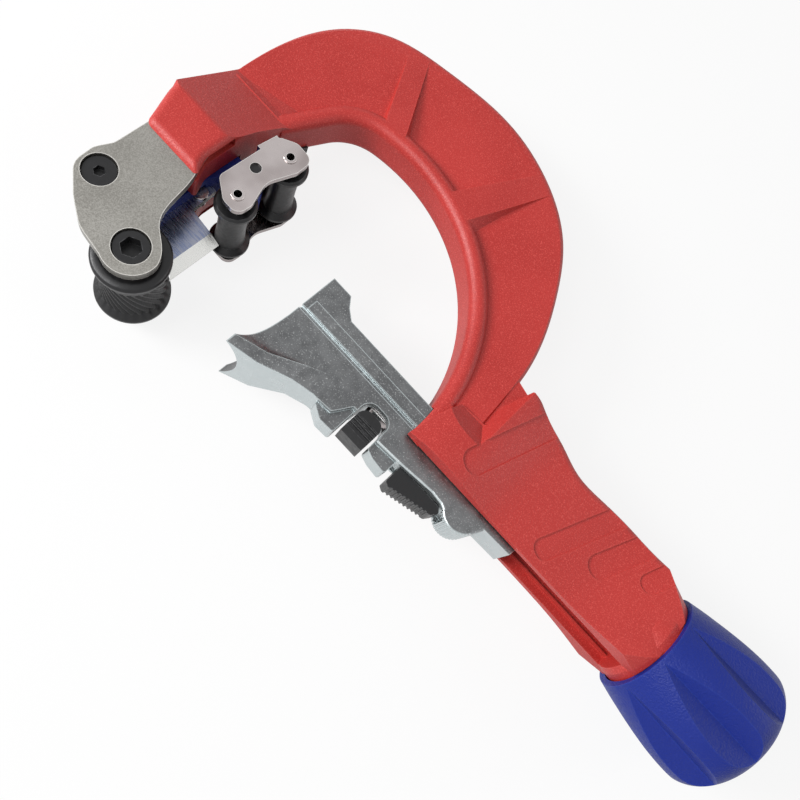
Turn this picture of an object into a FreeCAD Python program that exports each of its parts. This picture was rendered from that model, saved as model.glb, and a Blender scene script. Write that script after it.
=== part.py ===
import FreeCAD, Part
import math
import os

# A bow-shaped tube cutter. X runs along the grip towards the knob, Y from the grip towards the bow's back,
# Z is the thickness. The spindle's axis is X and the middle plane is Z = 0 while the pieces are drawn.

os.makedirs("parts", exist_ok=True)
doc = FreeCAD.newDocument("tube_cutter")
sheet = doc.addObject("Spreadsheet::Sheet", "sizes")

DRIVING = [
    ("bow_radius", 51.5, "inner radius of the bow"),
    ("bow_thickness", 13.0, "bow, over both faces"),
    ("bead_radius", 2.7, "round beads along the bow's inner rim"),
    ("head_thickness", 32.0, "head block, over both faces"),
    ("sheet_thickness", 2.4, "side plates"),
    ("plate_level", 12.2, "inner face of the side plates above the middle plane"),
    ("roller_length", 20.8, "rollers, over the flanges"),
    ("drive_flange_radius", 9.35, "drive roller at its flanges"),
    ("drive_waist_radius", 7.6, "drive roller at its knurl"),
    ("axle_radius", 3.5, "axle screw's shank"),
    ("small_flange_radius", 5.4, "plain rollers at their flanges"),
    ("small_waist_radius", 3.7, "plain rollers at the middle"),
    ("rivet_radius", 1.6, "rocker's tube rivets"),
    ("rocker_level", 12.7, "inner face of the rocker's sheets"),
    ("rocker_sheet", 1.5, "rocker's sheet thickness"),
    ("grip_thickness", 14.6, "grip at its waist, over both faces"),
    ("channel_width", 11.4, "open channel for the carriage"),
    ("bar_slot_width", 9.6, "upper slot for the feed bar"),
    ("carriage_width", 10.0, "carriage body"),
    ("carriage_rail_width", 11.0, "carriage, over its two rails"),
    ("cradle_width", 24.0, "carriage, over the horns of the trough"),
    ("trough_radius", 19.0, "hollow that holds the tube"),
    ("spindle_radius", 3.0, "spindle"),
    ("running_gap", 0.06, "radial gap of turning fits"),
    ("side_gap", 0.15, "gap beside sliding pieces"),
    ("knob_radius", 18.9, "knob at its widest"),
    ("knob_rim_radius", 15.0, "knob's rim round the grip"),
    ("rack_pitch", 1.6, "rack teeth"),
    ("button_width", 7.2, "release button along the grip"),
    ("blade_thickness", 2.0, "blade"),
    ("holder_thickness", 10.0, "blade holder"),
]
for row, (alias, value, note) in enumerate(DRIVING, start=1):
    sheet.set("A%d" % row, note)
    sheet.set("B%d" % row, str(value))
    sheet.setAlias("B%d" % row, alias)
doc.recompute()

handed_in = []


def val(alias):
    return float(sheet.get(alias))


def vec(point, level=0.0):
    return FreeCAD.Vector(point[0], point[1], level)


def bound(feature, prop, expression):
    """Give a feature's size from the sheet."""
    for alias, _, _ in DRIVING:
        expression = expression.replace("{" + alias + "}", "sizes." + alias)
    feature.setExpression(prop, expression)


def outline(points):
    """Closed run of lines and tangent arcs; a third number rounds that corner."""
    count = len(points)
    enter = []
    leave = []
    arcs = []
    for i, point in enumerate(points):
        corner = vec(point)
        radius = point[2] if len(point) > 2 else 0.0
        if not radius:
            enter.append(corner)
            leave.append(corner)
            arcs.append(None)
            continue
        back = (vec(points[i - 1]) - corner).normalize()
        ahead = (vec(points[(i + 1) % count]) - corner).normalize()
        half = back.getAngle(ahead) / 2
        reach = radius / math.tan(half)
        inward = (back + ahead).normalize()
        centre = corner + inward * (radius / math.sin(half))
        first = corner + back * reach
        last = corner + ahead * reach
        enter.append(first)
        leave.append(last)
        arcs.append(Part.Arc(first, centre - inward * radius, last))
    pieces = []
    for i in range(count):
        if arcs[i] is not None:
            pieces.append(arcs[i])
        start = leave[i]
        end = enter[(i + 1) % count]
        if start.distanceToPoint(end) > 1e-6:
            pieces.append(Part.LineSegment(start, end))
    return pieces


def open_run(points, curve):
    """Polyline through the points, closed by a given curve from the last to the first."""
    pieces = [Part.LineSegment(vec(a), vec(b)) for a, b in zip(points, points[1:])]
    return pieces + [curve]


def spline(points):
    curve = Part.BSplineCurve()
    curve.interpolate([vec(p) for p in points])
    return curve


def ring(centre, radius):
    return Part.Circle(vec(centre), FreeCAD.Vector(0, 0, 1), radius)


class Piece:
    """One body with its sketches and features."""

    def __init__(self, label, hand_in=True):
        self.body = doc.addObject("PartDesign::Body", label)
        self.body.Label = label
        if hand_in:
            handed_in.append(self.body)

    def role(self, name):
        return [f for f in self.body.Origin.OriginFeatures if f.Role == name][0]

    def sketch(self, geometry, plane="XY_Plane", offset=0.0, shift=(0.0, 0.0)):
        made = self.body.newObject("Sketcher::SketchObject", "sketch")
        made.AttachmentSupport = [(self.role(plane), "")]
        made.MapMode = "FlatFace"
        made.AttachmentOffset = FreeCAD.Placement(
            FreeCAD.Vector(shift[0], shift[1], offset), FreeCAD.Rotation())
        for item in geometry:
            made.addGeometry(item, False)
        doc.recompute()
        return made

    def add(self, kind, profile, **props):
        feature = self.body.newObject("PartDesign::" + kind, kind.lower())
        feature.Profile = profile
        for name, value in props.items():
            setattr(feature, name, value)
        return feature

    def pad(self, geometry, length, offset=0.0, plane="XY_Plane", middle=True, taper=0.0):
        feature = self.add("Pad", self.sketch(geometry, plane, offset))
        feature.SideType = "Symmetric" if middle else "One side"
        bound(feature, "Length", length)
        feature.TaperAngle = taper
        doc.recompute()
        return feature

    def pocket(self, geometry, length, offset=0.0, plane="XY_Plane", middle=True):
        feature = self.add("Pocket", self.sketch(geometry, plane, offset))
        feature.SideType = "Symmetric" if middle else "One side"
        bound(feature, "Length", length)
        doc.recompute()
        return feature

    def turned(self, geometry, kind="Revolution", plane="XZ_Plane", shift=(0.0, 0.0), axis="V_Axis"):
        """Turned about the Z line through the shift point, or about X for a half section drawn in XY."""
        if plane == "XZ_Plane":
            profile = self.sketch(geometry, plane, -shift[1], (shift[0], 0.0))
        else:
            profile = self.sketch(geometry, plane)
        feature = self.add(kind, profile)
        feature.ReferenceAxis = (profile, [axis])
        feature.Angle = 360
        doc.recompute()
        return feature

    def rounded(self, radius, choose, kind="Fillet"):
        base = self.body.Tip
        names = ["Edge%d" % (i + 1) for i, edge in enumerate(base.Shape.Edges) if choose(edge)]
        if not names:
            raise ValueError("no edge to round on " + self.body.Label)
        feature = self.body.newObject("PartDesign::" + kind, kind.lower())
        feature.Base = (base, names)
        if kind == "Fillet":
            feature.Radius = radius
        else:
            feature.Size = radius
        doc.recompute()
        return feature


def level_edges(level, tolerance=1e-3):
    """Edges that lie wholly at one height, near or far."""
    def choose(edge):
        box = edge.BoundBox
        same = abs(box.ZMax - box.ZMin) < tolerance
        return same and abs(abs(box.ZMax) - level) < tolerance
    return choose


# Frame casting: the bow. The outer edge is a smooth curve, the inner edge a circle that tightens near the head.
BOW_CENTRE = (-51.7, -7.6)
TIGHT_RADIUS = 14.2
TIGHT_START = math.radians(103.0)
TIGHT_END = math.radians(157.0)
WALL_RUN = 15.0


def polar(centre, radius, angle):
    return (centre[0] + radius * math.cos(angle), centre[1] + radius * math.sin(angle))


tight_centre = polar(BOW_CENTRE, val("bow_radius") - TIGHT_RADIUS, TIGHT_START)


def rim_path(out, start_angle, run=WALL_RUN):
    """The bow's inner rim, moved outwards: wide arc, tight arc, straight run towards the head."""
    wide = val("bow_radius") + out
    tight = TIGHT_RADIUS + out
    middle = (start_angle + TIGHT_START) / 2
    joint = polar(BOW_CENTRE, wide, TIGHT_START)
    turn_end = polar(tight_centre, tight, TIGHT_END)
    wide_arc = Part.Arc(vec(polar(BOW_CENTRE, wide, start_angle)), vec(polar(BOW_CENTRE, wide, middle)),
                        vec(joint))
    tight_arc = Part.Arc(vec(joint), vec(polar(tight_centre, tight, (TIGHT_START + TIGHT_END) / 2)),
                         vec(turn_end))
    heading = TIGHT_END + math.pi / 2
    final = (turn_end[0] + run * math.cos(heading), turn_end[1] + run * math.sin(heading))
    return [wide_arc, tight_arc, Part.LineSegment(vec(turn_end), vec(final))], final


bow = Piece("bow_stage", hand_in=False)
outer = [(10.8, 21.1), (8.6, 31.5), (0.6, 49.3), (-9.0, 62.6), (-24.0, 72.3), (-44.4, 76.7), (-66.0, 73.7),
         (-84.5, 67.0), (-94.6, 55.6), (-98.6, 44.0), (-99.9, 30.0), (-99.4, 14.0)]
BEAD_LEVEL = (val("bow_thickness") / 2 - val("bead_radius"))


def bow_outline(out):
    """The bow's outline with its inner edge moved outwards."""
    rim_run, last = rim_path(out, math.radians(-4.0))
    first = polar(BOW_CENTRE, val("bow_radius") + out, math.radians(-4.0))
    corners = [last, (-86.0, 14.0), (-99.4, 14.0)]
    foot = [(10.8, 21.1), (12.5, 4.0), (8.0, -11.0), first]
    return rim_run + [Part.LineSegment(vec(a), vec(b)) for a, b in zip(corners, corners[1:])] + [
        spline(outer)] + [Part.LineSegment(vec(a), vec(b)) for a, b in zip(foot, foot[1:])]


bow.pad(bow_outline(val("bead_radius")), "{bow_thickness}")
bow.rounded(2.4, lambda e: level_edges(val("bow_thickness") / 2)(e) and e.BoundBox.YMax > 70.0)
bow.pad(bow_outline(0.0), "{bow_thickness} - 2 * {bead_radius}")

# Three panels sink towards the inner rim on each face and leave two ribs. Their floor is a flat cone about a
# centre of its own, so that it comes up to the face at the outer edge.
PANEL_CENTRE = (-47.0, 13.0)
FACE = val("bow_thickness") / 2
rim_radius = val("bow_radius") + val("bead_radius")


def rim_crossing(first, second):
    """Where the line from the outer to the inner point meets the bead's middle line."""
    run = vec(second) - vec(first)
    from_centre = vec(first) - vec(BOW_CENTRE)
    a = run.dot(run)
    b = 2 * run.dot(from_centre)
    c = from_centre.dot(from_centre) - rim_radius ** 2
    share = (-b - math.sqrt(b * b - 4 * a * c)) / (2 * a)
    spot = vec(first) + run * share
    return (spot.x, spot.y)


def stretched(first, second):
    """The outer point, moved on past the bow's edge."""
    run = (vec(first) - vec(second)).normalize()
    spot = vec(first) + run * 12.0
    return (spot.x, spot.y)


def rim_arc(start, end):
    """Arc of the bead's middle line between two points of it."""
    a = math.atan2(start[1] - BOW_CENTRE[1], start[0] - BOW_CENTRE[0])
    b = math.atan2(end[1] - BOW_CENTRE[1], end[0] - BOW_CENTRE[0])
    return Part.Arc(vec(start), vec(polar(BOW_CENTRE, rim_radius, (a + b) / 2)), vec(end))


RIB_LINES = {
    "first_left": (((-78.1, 68.3), (-67.1, 46.8)), ((-77.5, 68.3), (-64.6, 46.1))),
    "first_right": (((-71.9, 71.4), (-58.8, 50.2)), ((-72.4, 70.8), (-60.4, 48.3))),
    "second_left": (((-27.9, 71.9), (-38.5, 49.6)), ((-26.6, 71.0), (-37.9, 46.4))),
    "second_right": (((-20.8, 67.7), (-26.2, 45.1)), ((-21.4, 68.0), (-32.4, 43.9))),
}


def panel_edge(name, level):
    """One panel's outline: level 0 is its floor, level 1 the face."""
    if name == "near_head":
        first, second = RIB_LINES["first_left"][level]
        top = rim_crossing(first, second)
        joint = polar(BOW_CENTRE, rim_radius, TIGHT_START)
        tight = TIGHT_RADIUS + val("bead_radius")
        turn_end = polar(tight_centre, tight, TIGHT_END)
        middle = polar(tight_centre, tight, (TIGHT_START + TIGHT_END) / 2)
        end_y = 23.0 if level == 0 else 21.2
        heading = TIGHT_END + math.pi / 2
        run = (end_y - turn_end[1]) / math.sin(heading)
        low = (turn_end[0] + run * math.cos(heading), end_y)
        corners = [low, (-112.0, end_y), (-112.0, 74.0), stretched(first, second), top]
        return [rim_arc(top, joint), Part.Arc(vec(joint), vec(middle), vec(turn_end)),
                Part.LineSegment(vec(turn_end), vec(low))] + [
                    Part.LineSegment(vec(a), vec(b)) for a, b in zip(corners, corners[1:])]
    if name == "top":
        first, second = RIB_LINES["second_left"][level]
        third, fourth = RIB_LINES["first_right"][level]
        start = rim_crossing(first, second)
        end = rim_crossing(third, fourth)
        corners = [end, stretched(third, fourth), (-50.0, 96.0), stretched(first, second), start]
    else:
        third, fourth = RIB_LINES["second_right"][level]
        start = polar(BOW_CENTRE, rim_radius, math.radians(12.5 if level == 0 else 9.0))
        end = rim_crossing(third, fourth)
        low_y = 4.6 if level == 0 else 2.6
        corners = [end, stretched(third, fourth), (30.0, 60.0), (30.0, 24.0), (14.0, low_y), start]
    return [rim_arc(start, end)] + [Part.LineSegment(vec(a), vec(b)) for a, b in zip(corners, corners[1:])]


cutters = []
for side in (1, -1):
    dish = Piece("panel_dish", hand_in=False)
    dish.turned(outline([(30.0, side * 3.2), (36.5, side * 3.6), (60.5, side * (FACE - 0.08)),
                         (110.0, side * (FACE - 0.08)), (110.0, side * 9.0), (30.0, side * 9.0)]),
                shift=PANEL_CENTRE)
    for name in ("near_head", "top", "near_grip"):
        prism = Piece("panel_" + name, hand_in=False)
        low_edge = prism.sketch(panel_edge(name, 0), offset=side * 3.1)
        face_edge = prism.sketch(panel_edge(name, 1), offset=side * 8.6)
        loft = prism.add("AdditiveLoft", low_edge)
        loft.Sections = [face_edge]
        loft.Ruled = True
        doc.recompute()
        common = doc.addObject("Part::MultiCommon", "panel_cut")
        common.Shapes = [prism.body, dish.body]
        cutters.append(common)
doc.recompute()

# The beads are round rods along the inner rim, one on each face.
beads = []
for side in (1, -1):
    bead = Piece("bead_stage", hand_in=False)
    bead_run, _ = rim_path(val("bead_radius"), math.radians(-4.0))
    bead_spine = bead.sketch(bead_run, offset=side * BEAD_LEVEL)
    bead_start = polar(BOW_CENTRE, rim_radius, math.radians(-4.0))
    section = bead.sketch([ring((0, 0), val("bead_radius"))])
    section.AttachmentSupport = []
    section.MapMode = "Deactivated"
    section.Placement = FreeCAD.Placement(
        vec(bead_start, side * BEAD_LEVEL),
        FreeCAD.Rotation(FreeCAD.Vector(0, 0, 1), -4.0).multiply(FreeCAD.Rotation(FreeCAD.Vector(1, 0, 0), 90)))
    doc.recompute()
    sweep = bead.add("AdditivePipe", section)
    sweep.Spine = (bead_spine, [])
    beads.append(bead.body)
doc.recompute()

# Frame casting: the head block, thick at the plates and falling in a slant to the bow.
head = Piece("head_stage", hand_in=False)
head.pad(outline([(-77.9, -9.9, 0.8), (-80.4, -4.6, 5.0), (-80.4, 12.0, 6.0), (-79.4, 20.8, 6.0),
                  (-73.3, 34.6), (-74.0, 38.4), (-99.3, 38.4), (-99.6, 22.0, 20.0), (-100.4, 2.0, 12.0),
                  (-95.9, -9.9, 2.5)]), "{head_thickness}")
for side in (1, -1):
    half = val("head_thickness") / 2
    head.pocket(outline([(2.8, side * half), (24.0, side * 5.2), (42.0, side * 0.3), (42.0, side * (half + 3)),
                         (2.8, side * (half + 3))]), "300", plane="YZ_Plane")
head.rounded(2.4, level_edges(val("head_thickness") / 2))

# Slots in the head for the two side plates, and the slot for the blade holder's neck.
slot_depth = "{sheet_thickness} + 0.1"
PLATE_TOP = 4.4
slot_shape = [(-98.0, -12.0), (-70.0, -12.0), (-70.0, PLATE_TOP + 0.2), (-93.5, PLATE_TOP + 0.2),
              (-98.0, PLATE_TOP - 1.8)]
head.pocket(outline(slot_shape), slot_depth, val("plate_level") + val("sheet_thickness") + 0.05, middle=False)
head.pocket(outline(slot_shape), slot_depth, -val("plate_level") + 0.05, middle=False)
head.pocket(outline([(-94.4, -12.0), (-70.0, -12.0), (-70.0, 7.4), (-94.4, 7.4, 3.0)]),
            "{holder_thickness} + 2 * {side_gap}")

# Frame casting: the grip. Its faces swell at the bow's foot, draw in at the waist and open into the collar.
GRIP_END = 79.6
WAIST = val("grip_thickness") / 2
BACK = [(19.2, 20.2), (24.6, 18.9), (29.4, 18.0), (37.5, 15.5), (47.4, 15.5), (57.3, 15.7), (66.7, 14.9),
        (72.5, 14.6), (GRIP_END, 13.4)]
SWELL = [(-6.0, 0.0), (0.0, 0.6), (5.5, 2.6), (11.0, 3.2), (16.5, 2.8), (21.0, 1.8), (25.5, 0.7), (30.0, 0.1),
         (36.0, 0.0), (50.0, 0.1), (60.0, 0.8), (69.0, 2.8), (76.0, 4.6), (84.0, 5.6)]


def grip_solid(label, sink):
    """The grip, with its faces sunk by a little for the piece that shapes the pads."""
    made = Piece(label, hand_in=False)
    made.pad(open_run([(GRIP_END, 13.4), (GRIP_END, -11.3), (0.3, -11.3), (1.4, -4.5), (4.2, 4.6), (12.5, 5.4),
                       (11.6, 12.0), (14.4, 20.0), (19.2, 20.2)], spline(BACK)), "{grip_thickness} + 12")
    for side in (1, -1):
        face = spline([(x, side * (WAIST + rise - sink)) for x, rise in SWELL])
        top = side * (WAIST + 8.0)
        corners = [(84.0, side * (WAIST + 5.6 - sink)), (84.0, top), (-6.0, top), (-6.0, side * (WAIST - sink))]
        made.pocket([face] + [Part.LineSegment(vec(a), vec(b)) for a, b in zip(corners, corners[1:])], "300",
                    plane="XZ_Plane")
    return made


grip = grip_solid("grip_stage", 0.0)
grip.rounded(2.2, lambda e: e.BoundBox.XLength > 50.0 and e.BoundBox.YMin > 12.0 and e.BoundBox.ZLength > 3.0)
grip.turned(outline([(58.0, 22.0), (66.0, 18.6), (73.0, 15.8), (GRIP_END + 0.5, 13.6), (GRIP_END + 0.5, 30.0),
                     (58.0, 30.0)]), "Groove", "XY_Plane", axis="H_Axis")
low_grip = grip_solid("low_grip_stage", 0.5)
web = Piece("web_stage", hand_in=False)
web.pad(outline([(9.0, 2.0), (15.0, 2.0), (18.4, 19.6), (10.2, 21.4)]), "{grip_thickness} - 3.2")

# Centre of each pad's round end, its length and width, and the way it runs.
PADS = [(15.3, -7.8, 34.0, 7.0, 72.0), (42.4, -8.6, 34.0, 5.8, 67.0), (55.2, -1.4, 24.0, 6.6, 66.0),
        (67.2, 5.0, 16.0, 5.4, 68.0)]


def pad_outline(x, y, long, wide, turn):
    """Recessed field with a rounded end, running off the grip's back."""
    along = FreeCAD.Vector(math.cos(math.radians(turn)), math.sin(math.radians(turn)), 0)
    across = FreeCAD.Vector(-along.y, along.x, 0)
    base = FreeCAD.Vector(x, y, 0)
    corners = []
    for u, w, radius in ((0, -0.5, 0.46), (long, -0.5, 0), (long, 0.5, 0), (0, 0.5, 0.46)):
        spot = base + along * u + across * (w * wide)
        corners.append((spot.x, spot.y, radius * wide))
    return outline(corners)


# At the bow's foot the grip's faces slope down to the bow's, along the grip and across it.
foot_cuts = []
for side in (1, -1):
    across_cut = Piece("foot_across", hand_in=False)
    across_cut.pad(outline([(-1.9, side * (WAIST + 3.3)), (4.6, side * FACE), (30.0, side * FACE),
                            (30.0, side * 20.0), (-1.9, side * 20.0)]), "34", -14.0, "YZ_Plane", middle=False)
    along_cut = Piece("foot_along", hand_in=False)
    along_cut.pad(outline([(-14.0, side * FACE), (11.8, side * FACE), (15.0, side * (WAIST + 3.3)),
                           (15.0, side * 20.0), (-14.0, side * 20.0)]), "80", plane="XZ_Plane")
    doc.recompute()
    common = doc.addObject("Part::MultiCommon", "foot_cut")
    common.Shapes = [across_cut.body, along_cut.body]
    foot_cuts.append(common)

pad_tools = []
for pad_spot in PADS:
    tool = Piece("pad_tool", hand_in=False)
    tool.pad(pad_outline(*pad_spot), "40")
    pad_tools.append(tool.body)

# The collar that the knob's rim runs round, with the spindle's bearing wall.
collar = Piece("collar_stage", hand_in=False)
collar.turned(outline([(74.0, 0.0), (74.0, 11.5, 1.5), (78.0, 13.0), (83.6, 13.0, 0.4), (83.6, 0.0)]),
              plane="XY_Plane", axis="H_Axis")

# Everything that is taken out of the casting in one tool: channel, feed slot, bearing hole.
channel = Piece("channel_stage", hand_in=False)
CHANNEL_END = 76.4
LEDGE = -1.2
channel.pad(outline([(-12.0, -20.0), (CHANNEL_END, -20.0), (CHANNEL_END, LEDGE, 1.5), (-12.0, LEDGE)]),
            "{channel_width}")
channel.pad(outline([(3.4, -6.0), (CHANNEL_END, -6.0), (CHANNEL_END, 9.0, 1.5), (19.0, 9.0, 1.5), (17.0, 4.2),
                     (3.4, 4.2)]), "{bar_slot_width}")
bearing = channel.pad([ring((0, 0), val("spindle_radius") + val("running_gap"))], "30", 70.0, "YZ_Plane",
                      middle=False)

rails = Piece("rails_stage", hand_in=False)
for side in (1, -1):
    rails.pad(outline([(-8.85, side * 4.5), (-8.35, side * 4.5), (-8.35, side * 6.4), (-8.85, side * 6.4)]),
              "75.6", 1.0, "YZ_Plane", middle=False)

doc.recompute()


def fused(label, shapes):
    made = doc.addObject("Part::MultiFuse", label)
    made.Shapes = shapes
    doc.recompute()
    return made


def taken(label, base, tool):
    made = doc.addObject("Part::Cut", label)
    made.Base = base
    made.Tool = tool
    doc.recompute()
    return made


bow_open = taken("bow_open", bow.body, fused("panels", cutters))
pad_skin = taken("pad_skin", fused("pad_tools", pad_tools), low_grip.body)
grip_open = taken("grip_open", grip.body, fused("grip_cuts", [pad_skin] + foot_cuts))
solid_stage = fused("solid_stage", [bow_open] + beads + [head.body, grip_open, web.body, collar.body])
open_stage = taken("open_stage", solid_stage, channel.body)
frame_casting = fused("frame_casting", [open_stage, rails.body])
handed_in.append(frame_casting)

# Side plates: 2.4 mm sheet, the far one narrower and without the ear for the upper screw.
EAR_SCREW = (-92.3, -26.2)
AXLE = (-73.35, -33.0)
AXLE_EAR = 7.2
front_shape = [(-95.8, PLATE_TOP, 3.0), (-95.8, -19.0, 3.0), (-97.6, -23.5, 4.0), (-97.2, -29.5, 5.0), (-90.6, -34.8, 8.0),
               (-84.0, -38.6, 10.0)]
plate_bottom = polar(AXLE, AXLE_EAR, math.radians(-112.0))
plate_low = polar(AXLE, AXLE_EAR, math.radians(-60.0))
plate_right = polar(AXLE, AXLE_EAR, math.radians(12.0))


def plate_edge(left):
    """Side plate outline with its round lobe about the axle and its hollow towards the throat."""
    lobe = Part.Arc(vec(plate_bottom), vec(plate_low), vec(plate_right))
    throat = spline([plate_right, (-69.4, -27.6), (-74.3, -24.0), (-76.8, -17.7), (-78.5, -10.4), (-80.9, -5.0),
                     (-82.2, 0.0), (-82.5, PLATE_TOP)])
    rest = outline([(-82.5, PLATE_TOP)] + left + [plate_bottom])
    kept = [item for item in rest if not closes(item)]
    return [lobe, throat] + kept


def closes(item):
    """The straight line from the last corner back to the first."""
    if not isinstance(item, Part.LineSegment):
        return False
    ends = (item.StartPoint, item.EndPoint)
    return ends[0].distanceToPoint(vec(plate_bottom)) < 1e-6 and ends[1].distanceToPoint(vec((-82.5, PLATE_TOP))) < 1e-6


front_plate = Piece("front_side_plate")
front_plate.pad(plate_edge(front_shape), "{sheet_thickness}", val("plate_level"), middle=False)
rear_plate = Piece("rear_side_plate")
rear_shape = [(-91.6, PLATE_TOP, 2.0), (-91.6, -24.0, 4.0), (-86.0, -31.0, 6.0)]
rear_plate.pad(plate_edge(rear_shape), "{sheet_thickness}", -val("plate_level") - val("sheet_thickness"),
               middle=False)
HEAD_TOP = val("plate_level") + val("sheet_thickness") - 0.3
for spot, top, low in ((EAR_SCREW, 4.25, 2.1), (AXLE, 4.5, 3.6)):
    level = val("plate_level")
    front_plate.turned(outline([(0, level - 1), (low, level - 1), (low, level + 0.35), (top, level + 0.8),
                                (top, level + 4), (0, level + 4)]), "Groove", shift=spot)
rear_plate.pocket([ring(AXLE, 2.5)], "200")
REAR_SCREW = (-86.5, -14.0)
rear_plate.pocket([ring(REAR_SCREW, 2.1)], "200")


def socket(piece, spot, across, depth, top):
    """Hexagon socket from above."""
    corner = across / math.sqrt(3)
    points = [polar(spot, corner, math.radians(60 * k + 30)) for k in range(6)]
    piece.pocket(outline(points), str(depth), top, middle=False)


# Black screws of the head: the upper one holds plate to holder, the lower one is the drive roller's axle.
ear_screw = Piece("plate_screw")
plate_in = val("plate_level")
ear_screw.turned(outline([(0, 3.0), (1.9, 3.0), (1.9, plate_in + 0.45), (4.1, plate_in + 0.95),
                          (4.1, plate_in + 1.75, 0.3), (0, plate_in + 1.75)]), shift=EAR_SCREW)
socket(ear_screw, EAR_SCREW, 2.5, 1.5, plate_in + 1.75)

axle_screw = Piece("axle_screw")
axle_tail = val("plate_level") + val("sheet_thickness")
axle_screw.turned(outline([(0, -axle_tail), (2.4, -axle_tail), (2.4, -plate_in + 0.05), (3.5, -plate_in + 0.05),
                           (3.5, plate_in + 0.45), (4.35, plate_in + 0.95), (4.35, plate_in + 1.9, 0.35),
                           (0, plate_in + 1.9)]), shift=AXLE)
socket(axle_screw, AXLE, 4.6, 3.0, plate_in + 1.9)

rear_screw = Piece("rear_plate_screw")
rear_screw.turned(outline([(0, -axle_tail - 1.2), (3.2, -axle_tail - 1.2, 0.4), (3.2, -axle_tail - 0.02),
                           (2.0, -axle_tail - 0.02), (2.0, -6.5), (0, -6.5)]), shift=REAR_SCREW)

axle_nut = Piece("axle_nut")
axle_nut.pad([ring(AXLE, 4.2), ring(AXLE, 2.5)], "1.2", -axle_tail - 1.25, middle=False)

# Drive roller: two flanges with a hollow, knurled waist between them, on a plain bush.
flange = val("drive_flange_radius")
waist = val("drive_waist_radius")
half_roller = val("roller_length") / 2
bush_bore = 4.4
drive = Piece("drive_roller")


def roller_section(bore, outer_r, inner_r, half, rim, dish):
    """Half section of a flanged roller with a gently hollow waist."""
    top = vec((outer_r, half - rim))
    low = vec((outer_r, -half + rim))
    shoulder_top = vec((inner_r + dish, half - rim - (outer_r - inner_r - dish)))
    shoulder_low = vec((inner_r + dish, -half + rim + (outer_r - inner_r - dish)))
    corner_high = vec((outer_r - 0.6, half))
    corner_low = vec((outer_r - 0.6, -half))
    return [
        Part.LineSegment(vec((bore, -half)), corner_low),
        Part.LineSegment(corner_low, vec((outer_r, -half + 0.6))),
        Part.LineSegment(vec((outer_r, -half + 0.6)), low),
        Part.LineSegment(low, shoulder_low),
        Part.Arc(shoulder_low, vec((inner_r, 0)), shoulder_top),
        Part.LineSegment(shoulder_top, top),
        Part.LineSegment(top, vec((outer_r, half - 0.6))),
        Part.LineSegment(vec((outer_r, half - 0.6)), corner_high),
        Part.LineSegment(corner_high, vec((bore, half))),
        Part.LineSegment(vec((bore, half)), vec((bore, -half))),
    ]


drive.turned(roller_section(bush_bore, flange, waist, half_roller, 1.6, 0.5), shift=AXLE)

bush = Piece("drive_bush")
bush.pad([ring(AXLE, bush_bore - 0.02), ring(AXLE, val("axle_radius") + val("running_gap"))], "2 * 10.3")
for label, base in (("front_washer", 10.6), ("rear_washer", -plate_in + 0.1)):
    washer = Piece(label)
    washer.pad([ring(AXLE, 6.2), ring(AXLE, val("axle_radius") + 0.15)], "1.5", base, middle=False)

# Blade group: a blue holder on the head's middle plane, the blade in its slot, and the pin that locates it.
holder = Piece("blade_holder")
holder.pad(outline([(-80.0, -21.0, 1.0), (-80.0, -3.6, 1.0), (-78.6, -0.6, 1.5), (-72.0, 0.7), (-69.6, 1.6, 1.5),
                    (-69.1, 3.5, 1.5), (-69.6, 5.4, 1.5), (-72.0, 6.3), (-81.0, 6.6, 1.5), (-92.0, 6.6, 3.0),
                    (-93.6, -8.0), (-96.7, -22.0, 3.0), (-96.7, -30.4, 3.4), (-89.0, -30.4, 3.0),
                    (-84.6, -25.6, 2.0)]), "{holder_thickness}")
holder.pocket(outline([(-85.0, -40.0), (-60.0, -40.0), (-60.0, -2.2), (-85.0, -2.2)]),
              "{blade_thickness} + 0.04")
holder.pocket(outline([(-75.4, -5.0), (-60.0, -5.0), (-60.0, 12.0), (-75.4, 12.0)]),
              "10", 9.0)
holder.pocket(outline([(-75.4, -5.0), (-60.0, -5.0), (-60.0, 12.0), (-75.4, 12.0)]),
              "10", -9.0)
holder.pocket([ring((-72.0, 3.5), 1.5 + val("running_gap"))], "100")
holder.pocket([ring(EAR_SCREW, 1.92)], "60", 32.9)
holder.pad([ring(EAR_SCREW, 4.2), ring(EAR_SCREW, 1.92)], "{plate_level} - 4.95", 4.9, middle=False)
holder.pad([ring((-88.0, -17.0), 4.0)], "{plate_level} - 4.95", 4.9, middle=False)
holder.pad([ring(REAR_SCREW, 3.6)], "{plate_level} - 4.95", -val("plate_level") + 0.05, middle=False)
holder.pocket([ring(REAR_SCREW, 2.02)], "7.8", -5.0, middle=False)

blade = Piece("blade")
ROLLER_CLEAR = 8.8
right_low = polar(AXLE, ROLLER_CLEAR, math.radians(38.0))
arc_top = polar(AXLE, ROLLER_CLEAR, math.radians(90.0))
left_low = polar(AXLE, ROLLER_CLEAR, math.radians(138.0))
BLADE_EDGE = right_low[0]
blade_pieces = [Part.Arc(vec(right_low), vec(arc_top), vec(left_low))]
blade_points = [left_low, (-84.8, -24.0), (-84.8, -2.6), (-77.9, -2.6), (-77.3, -10.8), (BLADE_EDGE, -11.8),
                right_low]
for first, last in zip(blade_points, blade_points[1:]):
    blade_pieces.append(Part.LineSegment(vec(first), vec(last)))
blade.pad(blade_pieces, "{blade_thickness}")
for side in (1, -1):
    half = val("blade_thickness") / 2
    blade.pocket(outline([(BLADE_EDGE - 3.4, side * half), (BLADE_EDGE + 0.5, side * 0.05),
                          (BLADE_EDGE + 0.5, side * (half + 1)), (BLADE_EDGE - 3.4, side * (half + 1))]),
                 "100", plane="XZ_Plane")
PIN = (-79.6, -6.2)
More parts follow.
